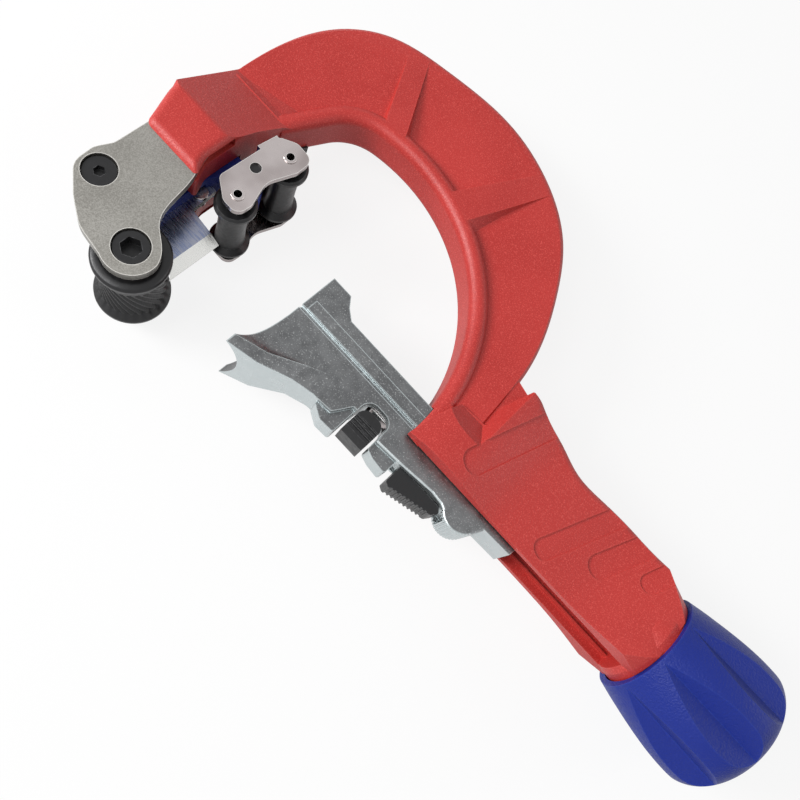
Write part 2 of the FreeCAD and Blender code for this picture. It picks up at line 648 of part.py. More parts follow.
blade.pocket([ring(PIN, 1.62)], "20")
blade_pin = Piece("blade_pin")
blade_pin.turned(outline([(0, -3.0), (1.6, -3.0), (1.6, 1.02), (2.1, 1.02), (2.1, 1.7, 0.2), (0, 1.7)]), shift=PIN)
holder.pocket([ring(PIN, 2.15)], "6")

# Rocker: folded sheet in a U that carries the two plain rollers and swings on the holder's arm.
PIVOT = (-72.0, 3.5)
LOWER = (-69.2, -4.8)
UPPER = (-69.2, 12.4)
rocker = Piece("rocker_bracket")
cheek = [(-75.6, -5.0, 2.0), (-70.2, -8.6, 2.6), (-65.3, -8.6, 2.6), (-65.0, -4.0, 3.0), (-67.6, 3.0, 6.0),
         (-65.0, 11.0, 3.0), (-65.2, 16.4, 2.6), (-71.0, 16.6, 2.6), (-75.0, 14.0, 2.0)]
rocker.pad(outline(cheek), "{rocker_sheet}", val("rocker_level"), middle=False)
web_edge = [(-76.3, 8.0), (-75.2, 8.0), (-74.6, 13.8), (-75.7, 13.8)]
rocker.pad(outline(web_edge), "2 * {rocker_level} + 2 * {rocker_sheet}")
rocker.pad(outline(cheek), "{rocker_sheet}", -val("rocker_level") - val("rocker_sheet"), middle=False)
for spot in (LOWER, UPPER):
    rocker.pocket([ring(spot, val("rivet_radius"))], "100")
rocker.pocket([ring(PIVOT, 1.45)], "100")

rocker_out = val("rocker_level") + val("rocker_sheet")
pivot_pin = Piece("rocker_pin")
pivot_pin.pad([ring(PIVOT, 1.45)], "2 * {rocker_level} + 2 * {rocker_sheet} - 1.2")
for label, spot in (("lower_rivet", LOWER), ("upper_rivet", UPPER)):
    rivet = Piece(label)
    end = rocker_out + 0.35
    inner_r = val("rivet_radius") - 0.55
    rivet.turned(outline([(inner_r, -end), (1.75, -end, 0.15), (1.75, -rocker_out - 0.02), (1.58, -rocker_out - 0.02),
                          (1.58, rocker_out + 0.02), (1.75, rocker_out + 0.02), (1.75, end, 0.15), (inner_r, end)]),
                 shift=spot)
for label, spot in (("lower_roller", LOWER), ("upper_roller", UPPER)):
    small = Piece(label)
    small.turned(roller_section(1.66, val("small_flange_radius"), val("small_waist_radius"), half_roller, 1.4, 0.3),
                 shift=spot)

# Spring strip that presses on the rocker's upper end, riveted to the head's inner wall.
strip = Piece("rocker_spring")
wall_along = FreeCAD.Vector(6.1, 13.8, 0).normalize()
wall_out = FreeCAD.Vector(wall_along.y, -wall_along.x, 0)
wall_base = FreeCAD.Vector(-79.03, 20.64, 0)


def on_wall(run, rise, radius=0.0):
    spot = wall_base + wall_along * run + wall_out * rise
    return (spot.x, spot.y, radius)


STRIP_LEVEL = -6.0
strip.pad(outline([on_wall(0.6, 0.06), on_wall(8.6, 0.06), on_wall(8.6, 0.56), on_wall(2.6, 0.56, 1.0),
                   (-73.0, 18.5, 0.8), (-69.4, 18.6), (-69.4, 18.1), (-73.4, 17.95, 1.0)]), "4.6", STRIP_LEVEL)
RIVET_RUN = 5.6
rivet_turn = FreeCAD.Rotation(FreeCAD.Vector(0, 0, 1), wall_out)


def wall_sketch(piece, radius, rise):
    """Round sketch that faces out from the head's inner wall."""
    made = piece.sketch([ring((0, 0), radius)])
    made.AttachmentSupport = []
    made.MapMode = "Deactivated"
    spot = wall_base + wall_along * RIVET_RUN + wall_out * rise
    made.Placement = FreeCAD.Placement(FreeCAD.Vector(spot.x, spot.y, STRIP_LEVEL), rivet_turn)
    doc.recompute()
    return made


hole = strip.add("Pocket", wall_sketch(strip, 0.62, 0.3))
hole.SideType = "Symmetric"
hole.Length = 3.0
doc.recompute()
strip_rivet = Piece("spring_rivet")
for radius, rise, length in ((0.6, 0.04, 0.6), (1.3, 0.6, 0.7)):
    shank = strip_rivet.add("Pad", wall_sketch(strip_rivet, radius, rise))
    shank.SideType = "One side"
    shank.Length = length
    doc.recompute()

# Carriage casting: body in the channel, trough with two horns, thumb rest, windows for button and slider.
carriage = Piece("carriage_casting")
TROUGH_BOTTOM = -40.1
PIN_SPOT = (12.0, -9.6)
REST_CENTRE = (23.6, -14.0)
REST_RADIUS = 5.5
rest_left = polar(REST_CENTRE, REST_RADIUS, math.radians(-142.0))
rest_low = polar(REST_CENTRE, REST_RADIUS, math.radians(-84.0))
rest_right = polar(REST_CENTRE, REST_RADIUS, math.radians(-26.0))
body_edge = [rest_right, (30.2, -13.3), (38.6, -13.0), (39.2, -9.2), (39.2, -1.45), (-29.6, -1.45), (-32.4, 0.6),
             (-34.6, 3.2), (-42.6, 3.2), (-42.6, -24.0), (-34.4, -25.6), (-28.4, -23.2), (-22.2, -21.9),
             (-16.2, -21.4), (-14.8, -19.0), (-13.4, -16.4), (-3.6, -16.4), (-3.4, -18.2), (4.3, -17.7),
             (14.7, -16.6), (18.1, -16.9), rest_left]
carriage.pad([Part.Arc(vec(rest_left), vec(rest_low), vec(rest_right))]
             + [Part.LineSegment(vec(a), vec(b)) for a, b in zip(body_edge, body_edge[1:])], "{carriage_width}")
carriage.rounded(0.7, lambda e: level_edges(val("carriage_width") / 2)(e) and e.BoundBox.YMax < -12.5
                 and e.BoundBox.XMin > -3.5 and e.BoundBox.XMax < 30.0)
carriage.pad(outline([(-20.5, -16.0), (-20.5, -22.4, 1.0), (-16.8, -24.4, 1.5), (-12.4, -24.2, 0.8),
                      (-12.4, -12.0)]), "6.8")
carriage.pad(outline([(-3.7, -12.0), (-3.7, -20.6, 0.8), (-1.0, -21.4, 1.0), (3.4, -21.8, 0.8), (3.4, -16.0),
                      (19.6, -15.0), (19.6, -12.0)]), "6.8")
rail_edge = [(-39.0, -7.9), (38.4, -7.9), (38.4, -4.7), (-39.0, -4.7)]
carriage.pad(outline(rail_edge), "{carriage_rail_width}")

# Each horn swells out of the body's face in a hollow that ends in a ridge.
HORN = [(-46.0, -31.4, -28.9, val("cradle_width") / 2, [(-24.2, 8.3), (-18.0, 6.0)], -11.0),
        (-36.0, -28.2, -24.5, 9.2, [(-21.3, 6.9), (-17.2, 5.6)], -12.0),
        (-28.0, -23.6, -18.3, 6.0, [(-17.0, 5.4), (-15.2, 5.1)], -13.0),
        (-21.5, -21.7, -14.6, 4.99, [(-14.3, 4.97), (-14.0, 4.95)], -13.6)]


def horn_section(low, ridge, wide, hollow, top):
    near = spline([(ridge, wide)] + hollow + [(top, 4.9)])
    far = spline([(top, -4.9)] + [(y, -z) for y, z in reversed(hollow)] + [(ridge, -wide)])
    return [Part.LineSegment(vec((low, -wide)), vec((low, wide))),
            Part.LineSegment(vec((low, wide)), vec((ridge, wide))), near,
            Part.LineSegment(vec((top, 4.9)), vec((top, -4.9))), far,
            Part.LineSegment(vec((ridge, -wide)), vec((low, -wide)))]


horn_sketches = [carriage.sketch(horn_section(*spot[1:]), "YZ_Plane", spot[0]) for spot in HORN]
horn = carriage.add("AdditiveLoft", horn_sketches[0])
horn.Sections = horn_sketches[1:]
horn.Ruled = True
doc.recompute()
carriage.pocket([ring((TROUGH_BOTTOM - val("trough_radius"), 0.0), val("trough_radius"))], "300",
                plane="XZ_Plane")

# Windows, top groove, lever chamber, pin hole and rail grooves of the carriage.
carriage.pocket(outline([(-12.2, -27.0), (-3.8, -27.0), (-3.8, -11.8, 3.0), (-12.2, -11.8, 3.0)]), "60")
SLIDER_HALF = 3.2
carriage.pocket(outline([(3.6, -27.0), (3.6, -17.04), (21.5, -17.04), (21.5, -27.0)]),
                "%.2f" % (2 * SLIDER_HALF + 0.4))
carriage.pocket(outline([(-6.5, -3.92), (4.0, -3.92), (4.0, 3.92), (-6.5, 3.92)]), "58.6", 40.0,
                "YZ_Plane", middle=False)
carriage.pocket(outline([(-11.2, -13.4), (9.0, -13.4), (16.0, -15.9), (22.4, -15.9), (24.4, -12.6), (40.0, -12.6),
                         (40.0, -6.0), (-11.2, -6.0)]), "4.4")
carriage.pocket([ring(PIN_SPOT, 1.26)], "60")
for side in (1, -1):
    carriage.pocket(outline([(-9.1, side * 4.2), (-8.0, side * 4.2), (-8.0, side * 7), (-9.1, side * 7)]),
                    "83", 41.0, "YZ_Plane", middle=False)

# Serrations on the thumb rest.
SERRATIONS = 13
for k in range(SERRATIONS):
    angle = math.radians(-138 + 9.0 * k)
    spot = polar(REST_CENTRE, REST_RADIUS + 0.08, angle)
    carriage.pocket([ring(spot, 0.34)], "60")

# Release button, lever, pin, springs and lock slider.
button = Piece("release_button")
half_button = val("button_width") / 2
BUTTON_X = -8.0
button.pad(outline([(BUTTON_X - half_button, -22.2), (BUTTON_X + half_button, -22.2),
                    (BUTTON_X + half_button, -14.0, 2.6), (BUTTON_X - half_button, -14.0, 2.6)]),
           "{carriage_width} - 0.2")
for side in (1, -1):
    half = (val("carriage_width") - 0.2) / 2
    button.pocket(outline([(-23.0, side * (half - 1.8)), (-22.2, side * (half - 1.5)), (-20.6, side * half),
                           (-20.6, side * (half + 1)), (-23.0, side * (half + 1))]), "60", plane="YZ_Plane")
    for y, z in ((-19.4, half + 0.1), (-18.2, half + 0.1), (-17.0, half + 0.1)):
        button.pocket([ring((y, side * z), 0.4)], "60", plane="YZ_Plane")
button.pad(outline([(-9.4, -15.0), (-6.6, -15.0), (-6.6, -12.4), (-9.4, -12.4)]), "4.0")

lever = Piece("release_lever")
lever.pad(outline([(-10.6, -12.2, 0.6), (9.0, -12.2, 2.0), (10.4, -12.6, 1.5), (13.6, -12.6, 1.5), (24.0, -11.4, 3.0),
                   (36.0, -9.4, 0.4), (36.0, -6.36), (29.6, -6.36), (27.0, -8.2, 1.0), (13.8, -7.9, 1.5),
                   (10.2, -8.2, 1.5), (-10.6, -9.6, 0.6)]), "4.0")
lever.pocket([ring(PIN_SPOT, 1.25 + val("running_gap"))], "30")
for k in range(3):
    x = 30.6 + val("rack_pitch") * k
    lever.pocket(outline([(x, -5.9), (x + 0.9, -5.9), (x + 0.55, -7.0), (x + 0.35, -7.0)]), "30")
lever_pin = Piece("lever_pin")
lever_pin.pad([ring(PIN_SPOT, 1.25)], "{carriage_width} - 1.8")

lever_spring = Piece("lever_spring")
wire = lever_spring.sketch([ring((1.45, 0), 0.28)], shift=(19.6, -15.58))
coil = lever_spring.add("AdditiveHelix", wire)
coil.ReferenceAxis = (wire, ["V_Axis"])
coil.Mode = "pitch-height-angle"
coil.Pitch = 1.1
coil.Height = 3.3
doc.recompute()

slider = Piece("lock_slider")
SLIDER_LOW = (6.4, -23.3)
SLIDER_HIGH = (18.4, -20.3)
slider.pad(outline([(5.0, -17.2), (5.0, -22.6, 0.5), SLIDER_LOW + (0.6,), SLIDER_HIGH + (0.8,), (19.6, -18.6, 0.5),
                    (18.6, -17.2)]), "%.2f" % (2 * SLIDER_HALF))
slope = vec(SLIDER_HIGH) - vec(SLIDER_LOW)
for k in range(9):
    spot = vec(SLIDER_LOW) + slope * (0.08 + 0.1 * k)
    slider.pocket([ring((spot.x, spot.y - 0.05), 0.42)], "30")

# Feed bar: T-shaped nut with rack teeth on the flat underside, bored for the spindle.
BAR_START = 9.0
BAR_END = 66.0
bar = Piece("feed_bar")
bar.pad(outline([(-6.2, -3.6), (-6.2, 3.6), (-0.95, 3.6), (-0.95, 4.6), (3.9, 4.6, 0.4), (3.9, -4.6, 0.4),
                 (-0.95, -4.6), (-0.95, -3.6)]), "57", BAR_START, "YZ_Plane", middle=False)
bar.pocket([ring((0, 0), val("spindle_radius") + val("running_gap"))], "300", 0.0, "YZ_Plane")
tooth = bar.pocket(outline([(10.2, -5.4), (10.0, -6.6), (11.1, -6.6), (10.9, -5.4)]), "30")
rack = bar.body.newObject("PartDesign::LinearPattern", "rack")
rack.Originals = [tooth]
rack.Direction = (bar.role("X_Axis"), [""])
rack.Length = val("rack_pitch") * 33
rack.Occurrences = 34
bar.body.Tip = rack
doc.recompute()

# Spindle with thrust washer and retaining ring, running in the collar's wall.
spindle = Piece("spindle")
SPINDLE_START = 12.0
SPINDLE_END = 103.0
spin_r = val("spindle_radius")
spindle.turned(outline([(SPINDLE_START, 0), (SPINDLE_START, spin_r - 0.6), (SPINDLE_START + 0.6, spin_r),
                        (74.2, spin_r), (74.2, spin_r - 0.5), (75.1, spin_r - 0.5), (75.1, spin_r),
                        (SPINDLE_END, spin_r), (SPINDLE_END, 0)]), plane="XY_Plane", axis="H_Axis")
washer = Piece("thrust_washer")
washer.pad([ring((0, 0), 4.5), ring((0, 0), spin_r + 0.02)], "1.0", 75.25, "YZ_Plane", middle=False)
clip = Piece("retaining_ring")
clip.turned(outline([(74.25, spin_r - 0.48), (74.25, 4.4, 0.1), (75.05, 4.4, 0.1), (75.05, spin_r - 0.48)]),
            plane="XY_Plane", axis="H_Axis")

# Knob: eight wide hollows between ridges, rim round the collar, screw and cap in its end.
knob = Piece("knob")
rim = val("knob_rim_radius")
full = val("knob_radius")
KNOB_END = 115.0
side_curve = spline([(79.9, rim), (86.0, rim + 1.4), (93.0, rim + 2.9), (99.5, full - 0.1), (104.5, full),
                     (108.2, full - 0.5), (111.0, full - 2.1), (113.4, full - 5.3), (KNOB_END, full - 8.9)])
knob.turned([
    side_curve,
    Part.LineSegment(vec((KNOB_END, full - 8.9)), vec((KNOB_END, 6.5))),
    Part.LineSegment(vec((KNOB_END, 6.5)), vec((108.6, 6.5))),
    Part.LineSegment(vec((108.6, 6.5)), vec((108.6, spin_r))),
    Part.LineSegment(vec((108.6, spin_r)), vec((84.0, spin_r))),
    Part.LineSegment(vec((84.0, spin_r)), vec((84.0, 13.4))),
    Part.LineSegment(vec((84.0, 13.4)), vec((79.9, 13.4))),
    Part.LineSegment(vec((79.9, 13.4)), vec((79.9, rim))),
], plane="XY_Plane", axis="H_Axis")
FLUTE_TURN = math.radians(114.0)


def flute_section(depth):
    """Wide V whose point lies at the given distance from the axis."""
    corners = []
    for out, across in ((depth, 0.0), (depth + 9.0, -18.0), (depth + 9.0, 18.0)):
        corners.append((out * math.cos(FLUTE_TURN) - across * math.sin(FLUTE_TURN),
                        out * math.sin(FLUTE_TURN) + across * math.cos(FLUTE_TURN)))
    return outline(corners)


flute_start = knob.sketch(flute_section(15.2), "YZ_Plane", 81.0)
flute_end = knob.sketch(flute_section(15.9), "YZ_Plane", 118.0)
flute = knob.add("SubtractiveLoft", flute_start)
flute.Sections = [flute_end]
flute.Ruled = True
doc.recompute()
flutes = knob.body.newObject("PartDesign::PolarPattern", "flutes")
flutes.Originals = [flute]
flutes.Axis = (knob.role("X_Axis"), [""])
flutes.Angle = 360
flutes.Occurrences = 8
knob.body.Tip = flutes
doc.recompute()

knob_screw = Piece("knob_screw")
knob_screw.turned(outline([(103.05, 0), (103.05, 2.9), (108.65, 2.9), (108.65, 5.4, 0.3), (111.2, 5.4, 0.8),
                           (111.2, 0)]), plane="XY_Plane", axis="H_Axis")
knob_cap = Piece("knob_cap")
knob_cap.turned(outline([(112.6, 0), (112.6, 6.45), (114.4, 6.45, 0.3), (114.7, 0)]), plane="XY_Plane",
                axis="H_Axis")

doc.recompute()

# Every object must be sound before anything is written.
for item in doc.Objects:
    if "Invalid" in item.State or "Error" in item.State:
        raise RuntimeError("not built: " + item.Name)
whole = None
for item in handed_in:
    if item.Shape.isNull() or not item.Shape.isValid():
        raise RuntimeError("bad shape: " + item.Label)
    box = item.Shape.optimalBoundingBox(False)
    print("%-18s %9.1f mm3  x %.2f %.2f  y %.2f %.2f  z %.2f %.2f" % (
        item.Label, item.Shape.Volume, box.XMin, box.XMax, box.YMin, box.YMax, box.ZMin, box.ZMax))
    whole = FreeCAD.BoundBox(box) if whole is None else whole.united(box)

# The part's origin is the middle of its box.
centre = whole.Center
for item in handed_in:
    placed = item.Placement
    item.Placement = FreeCAD.Placement(placed.Base - centre, placed.Rotation)
doc.recompute()
for item in handed_in:
    item.Shape.exportStep("parts/" + item.Label + ".step")
print("centre", centre, "size", whole.XLength, whole.YLength, whole.ZLength)
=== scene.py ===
import math

import bmesh
import bpy
from mathutils import Matrix, Vector


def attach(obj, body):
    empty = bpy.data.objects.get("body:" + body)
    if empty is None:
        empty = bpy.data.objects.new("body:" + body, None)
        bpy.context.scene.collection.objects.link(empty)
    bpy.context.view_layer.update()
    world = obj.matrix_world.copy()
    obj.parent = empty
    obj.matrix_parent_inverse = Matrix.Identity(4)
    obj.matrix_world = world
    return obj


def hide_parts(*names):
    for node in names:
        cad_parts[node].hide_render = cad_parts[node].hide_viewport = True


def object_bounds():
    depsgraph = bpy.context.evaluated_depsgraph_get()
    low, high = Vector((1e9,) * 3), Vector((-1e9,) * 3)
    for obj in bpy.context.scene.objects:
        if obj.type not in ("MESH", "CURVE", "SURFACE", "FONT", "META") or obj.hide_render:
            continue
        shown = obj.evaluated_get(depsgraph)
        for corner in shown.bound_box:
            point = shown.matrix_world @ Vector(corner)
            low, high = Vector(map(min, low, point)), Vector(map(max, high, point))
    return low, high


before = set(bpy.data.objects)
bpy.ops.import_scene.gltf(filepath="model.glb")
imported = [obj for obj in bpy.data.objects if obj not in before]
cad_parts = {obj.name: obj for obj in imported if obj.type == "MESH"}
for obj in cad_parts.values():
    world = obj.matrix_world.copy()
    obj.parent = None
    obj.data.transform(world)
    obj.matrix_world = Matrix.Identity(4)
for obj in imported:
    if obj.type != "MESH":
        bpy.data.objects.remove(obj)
cad_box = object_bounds()
MM = 0.001

# Camera. It looks steeply down on the tool from the grip's open side. Its place was worked out from the
# straight lines of the grip and the round ends of rollers and knob, in the part's own frame.
CAMERA_AT = Vector((-10.844, -104.978, 198.1)) * MM
CAMERA_RIGHT = Vector((0.6797, 0.6802, 0.2746)).normalized()
CAMERA_TOWARDS_EYE = Vector((0.0169, -0.3888, 0.9212)).normalized()
CAMERA_UP = CAMERA_TOWARDS_EYE.cross(CAMERA_RIGHT).normalized()
CAMERA_BACK = CAMERA_RIGHT.cross(CAMERA_UP).normalized()
LENS = 38.25
SENSOR = 36.0
NEAREST_SEEN = 0.01
camera_data = bpy.data.cameras.new("camera")
camera_data.lens = LENS
camera_data.sensor_width = SENSOR
camera_data.clip_start = NEAREST_SEEN
camera = bpy.data.objects.new("camera", camera_data)
camera_turn = Matrix((CAMERA_RIGHT, CAMERA_UP, CAMERA_BACK)).transposed().to_4x4()
camera.matrix_world = Matrix.Translation(CAMERA_AT) @ camera_turn
bpy.context.scene.collection.objects.link(camera)
bpy.context.scene.camera = camera
bpy.context.scene.view_settings.view_transform = "Standard"


# Shader nodes for all that follows: a socket that can be added, subtracted and multiplied in plain
# expressions, the tree that its nodes are made in, and a finish, which is the tree of one material.
class Value:
    def __init__(self, nodes, socket):
        self.nodes = nodes
        self.socket = socket

    def maths(self, operation, first, second, use_clamp=False):
        settings = {"operation": operation, "use_clamp": use_clamp}
        return self.nodes.node("ShaderNodeMath", settings, {0: first, 1: second})

    def __add__(self, other):
        return self.maths("ADD", self, other)

    __radd__ = __add__

    def __sub__(self, other):
        return self.maths("SUBTRACT", self, other)

    def __rsub__(self, other):
        return self.maths("SUBTRACT", other, self)

    def __mul__(self, other):
        return self.maths("MULTIPLY", self, other)

    __rmul__ = __mul__

    def clamp(self):
        return self.maths("ADD", self, 0.0, use_clamp=True)


class Nodes:
    def __init__(self, tree):
        self.tree = tree

    def put(self, socket, value):
        if isinstance(value, Value):
            self.tree.links.new(value.socket, socket)
        else:
            socket.default_value = value

    def node(self, kind, settings, inputs, output=0):
        made = self.tree.nodes.new(kind)
        for name, value in settings.items():
            setattr(made, name, value)
        for name, value in inputs.items():
            self.put(made.inputs[name], value)
        return Value(self, made.outputs[output])

    def ray(self, kind):
        """1 for the rays of one kind: Camera, Glossy or Transmission."""
        return self.node("ShaderNodeLightPath", {}, {}, "Is " + kind + " Ray")


# An edge shows where the rounded normal leaves the flat one, measured as 1 less their cosine. A noise keeps
# mostly between the two levels below, and roughness runs from one of them to the other.
EDGE_STARTS = 0.01
EDGE_FULL = 0.12
BEVEL_SAMPLES = 6
NOISE_LOW = 0.3
NOISE_HIGH = 0.7


class Finish(Nodes):
    def __init__(self, name):
        self.material = bpy.data.materials.new(name)
        self.material.use_nodes = True
        super().__init__(self.material.node_tree)
        self.shader = self.tree.nodes["Principled BSDF"]
        self.place = self.node("ShaderNodeTexCoord", {}, {}, "Object")

    def noise(self, scale, detail=2.0, stretch=(1.0, 1.0, 1.0)):
        where = self.node("ShaderNodeMapping", {}, {"Vector": self.place, "Scale": stretch})
        inputs = {"Vector": where, "Scale": scale, "Detail": detail}
        return self.node("ShaderNodeTexNoise", {}, inputs, "Fac")

    def cells(self, scale):
        """Distance to the nearest of many scattered points, for grains and pits."""
        return self.node("ShaderNodeTexVoronoi", {}, {"Vector": self.place, "Scale": scale}, "Distance")

    def ramp(self, value, low, high, low_out=0.0, high_out=1.0):
        inputs = {"Value": value, "From Min": low, "From Max": high, "To Min": low_out, "To Max": high_out}
        return self.node("ShaderNodeMapRange", {"clamp": True}, inputs, "Result")

    def roughness(self, noise, in_hollows, on_crests):
        return self.ramp(noise, NOISE_LOW, NOISE_HIGH, in_hollows, on_crests)

    def mix(self, mask, first, second):
        inputs = {"Factor": mask, "A": first, "B": second}
        return self.node("ShaderNodeMix", {"data_type": "RGBA"}, inputs, 2)

    def bump(self, height, strength, distance):
        inputs = {"Height": height, "Strength": strength, "Distance": distance}
        return self.node("ShaderNodeBump", {}, inputs)

    def aligned(self, one_way, other_way):
        """Cosine of the angle between two directions."""
        settings = {"operation": "DOT_PRODUCT"}
        return self.node("ShaderNodeVectorMath", settings, {0: one_way, 1: other_way}, "Value")

    def edges(self, radius):
        """1 along convex and concave edges, 0 on flats."""
        bent = self.node("ShaderNodeBevel", {"samples": BEVEL_SAMPLES}, {"Radius": radius})
        flat = self.node("ShaderNodeNewGeometry", {}, {}, "Normal")
        return self.ramp(1.0 - self.aligned(bent, flat), EDGE_STARTS, EDGE_FULL)

    def facing(self, way, low, high):
        """1 on faces that look the given way, in the piece's own axes."""
        normal = self.node("ShaderNodeTexCoord", {}, {}, "Normal")
        return self.ramp(self.aligned(normal, way), low, high)

    def surface(self, **sockets):
        for name, value in sockets.items():
            self.put(self.shader.inputs[name.replace("_", " ")], value)
        return self.material


def paint(names, material):
    for name in names:
        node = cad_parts[name]
        node.data.materials.clear()
        node.data.materials.append(material)


# Red powder coat of the frame casting: a close orange-peel texture of fine grains, paler on all edges as a
# painted highlight.
RED_DEEP = (0.40, 0.020, 0.016, 1.0)
RED_FACE = (0.46, 0.028, 0.023, 1.0)
RED_SPECK = (0.62, 0.072, 0.060, 1.0)
RED_EDGE_HIGHLIGHT = (0.58, 0.066, 0.054, 1.0)
coat = Finish("red_powder_coat")
grain = coat.noise(scale=3200.0)
peel = coat.noise(scale=1500.0)
cloud = coat.noise(scale=45.0)
red = coat.mix(coat.ramp(cloud, low=0.35, high=0.65), RED_DEEP, RED_FACE)
red = coat.mix(coat.ramp(grain, low=0.52, high=0.70), red, RED_SPECK)
# All edges turn paler: a painted highlight.
red = coat.mix(coat.edges(radius=0.0008) * 0.45, red, RED_EDGE_HIGHLIGHT)
red_coat = coat.surface(Base_Color=red,
                        Roughness=coat.roughness(grain, in_hollows=0.52, on_crests=0.38),
                        Normal=coat.bump(grain * 0.7 + peel * 0.6, strength=0.55, distance=0.0002))
paint(["frame_casting"], red_coat)

# Satin steel of the two side plates: rolled sheet with fine grain along it and bright cut edges.
SATIN_DARK = (0.235, 0.226, 0.206, 1.0)
SATIN_LIGHT = (0.345, 0.335, 0.310, 1.0)
SATIN_EDGE = (0.80, 0.78, 0.74, 1.0)
ROLLED_ALONG_Y = (1.0, 0.10, 1.0)
satin = Finish("satin_sheet_steel")
mottle = satin.noise(scale=3600.0, detail=3.0)
stain = satin.noise(scale=120.0, detail=3.0)
rolled = satin.noise(scale=2600.0, stretch=ROLLED_ALONG_Y)
sheet_grey = satin.ramp(mottle * 0.7 + stain * 0.3, low=0.38, high=0.62)
satin_colour = satin.mix(sheet_grey, SATIN_DARK, SATIN_LIGHT)
satin_colour = satin.mix(satin.edges(radius=0.0004), satin_colour, SATIN_EDGE)
satin_steel = satin.surface(Base_Color=satin_colour, Metallic=0.9,
                            Roughness=satin.roughness(mottle, in_hollows=0.34, on_crests=0.46),
                            Normal=satin.bump(rolled + mottle, strength=0.14, distance=0.0002))
paint(["front_side_plate", "rear_side_plate"], satin_steel)

# Blade: hardened steel, ground smooth on its faces and polished on the two bevels of its edge.
# The ground faces are tinted blue as a painted reflection of the blue blade holder, lighter along the
# grinding streaks.
BLADE_FACE_BLUE_REFLECTION = (0.20, 0.235, 0.36, 1.0)
BLADE_STREAK_BLUE_REFLECTION = (0.34, 0.36, 0.44, 1.0)
BLADE_BEVEL = (0.72, 0.72, 0.70, 1.0)
GROUND_ALONG_X = (0.12, 1.0, 1.0)
TOWARDS_EDGE = (1.0, 0.0, 0.0)
ground = Finish("ground_blade_steel")
grinding = ground.noise(scale=2200.0, detail=3.0, stretch=GROUND_ALONG_X)
blade_colour = ground.mix(ground.ramp(grinding, low=0.4, high=0.65), BLADE_FACE_BLUE_REFLECTION, BLADE_STREAK_BLUE_REFLECTION)
blade_colour = ground.mix(ground.facing(TOWARDS_EDGE, low=0.08, high=0.16), blade_colour, BLADE_BEVEL)
blade_steel = ground.surface(Base_Color=blade_colour, Metallic=0.95,
                             Roughness=ground.roughness(grinding, in_hollows=0.22, on_crests=0.34),
                             Normal=ground.bump(grinding, strength=0.10, distance=0.0002))
paint(["blade"], blade_steel)

# Bright zinc plated steel of the rocker, its rivets and the small turned parts: clouded, and pale on edges.
ZINC_DARK = (0.33, 0.29, 0.285, 1.0)
ZINC_LIGHT = (0.48, 0.435, 0.43, 1.0)
ZINC_EDGE = (0.82, 0.80, 0.78, 1.0)
bright = Finish("bright_zinc_steel")
scuff = bright.noise(scale=700.0, detail=4.0)
zinc_cloud = bright.noise(scale=90.0)
bright_colour = bright.mix(bright.ramp(zinc_cloud, low=0.35, high=0.65), ZINC_DARK, ZINC_LIGHT)
bright_colour = bright.mix(bright.edges(radius=0.0003), bright_colour, ZINC_EDGE)
bright_steel = bright.surface(Base_Color=bright_colour, Metallic=1.0,
                              Roughness=bright.roughness(scuff, in_hollows=0.16, on_crests=0.30),
                              Normal=bright.bump(scuff, strength=0.12, distance=0.0002))
paint(["rocker_bracket", "lower_rivet", "upper_rivet", "blade_pin", "spring_rivet", "front_washer",
       "rear_washer", "thrust_washer", "lever_pin", "lever_spring", "spindle", "retaining_ring", "axle_nut",
       "knob_screw", "feed_bar", "release_lever"], bright_steel)

# Black oxide steel of screws and rollers, and the black button and slider, rubbed to grey on the edges.
OXIDE_BLACK = (0.011, 0.011, 0.012, 1.0)
OXIDE_RUBBED = (0.11, 0.11, 0.115, 1.0)
black = Finish("black_oxide_steel")
oxide = black.noise(scale=900.0, detail=3.0)
rubbed = black.edges(radius=0.0003) * black.ramp(oxide, low=0.4, high=0.6)
black_steel = black.surface(Base_Color=black.mix(rubbed, OXIDE_BLACK, OXIDE_RUBBED), Metallic=0.3,
                            Roughness=black.roughness(oxide, in_hollows=0.28, on_crests=0.42),
                            Normal=black.bump(oxide, strength=0.15, distance=0.0002))
paint(["plate_screw", "axle_screw", "rear_plate_screw", "drive_roller", "lower_roller", "upper_roller",
       "rocker_pin", "rocker_spring", "release_button", "lock_slider"], black_steel)

# Blue moulded plastic of the knob, its cap and the blade holder: saturated, with a fine spark-eroded grain
# and a painted highlight that makes its edges paler.
BLUE_BODY = (0.006, 0.020, 0.215, 1.0)
BLUE_EDGE_HIGHLIGHT = (0.022, 0.052, 0.330, 1.0)
PLASTIC_IOR = 1.36
blue = Finish("blue_moulded_plastic")
moulded = blue.noise(scale=2000.0, detail=3.0)
# Paler blue along edges: a painted highlight.
blue_colour = blue.mix(blue.edges(radius=0.0007) * 0.6, BLUE_BODY, BLUE_EDGE_HIGHLIGHT)
blue_gloss = blue.surface(Base_Color=blue_colour, IOR=PLASTIC_IOR,
                          Roughness=blue.roughness(moulded, in_hollows=0.36, on_crests=0.50),
                          Normal=blue.bump(moulded, strength=0.65, distance=0.0003))
paint(["knob", "knob_cap", "blade_holder"], blue_gloss)

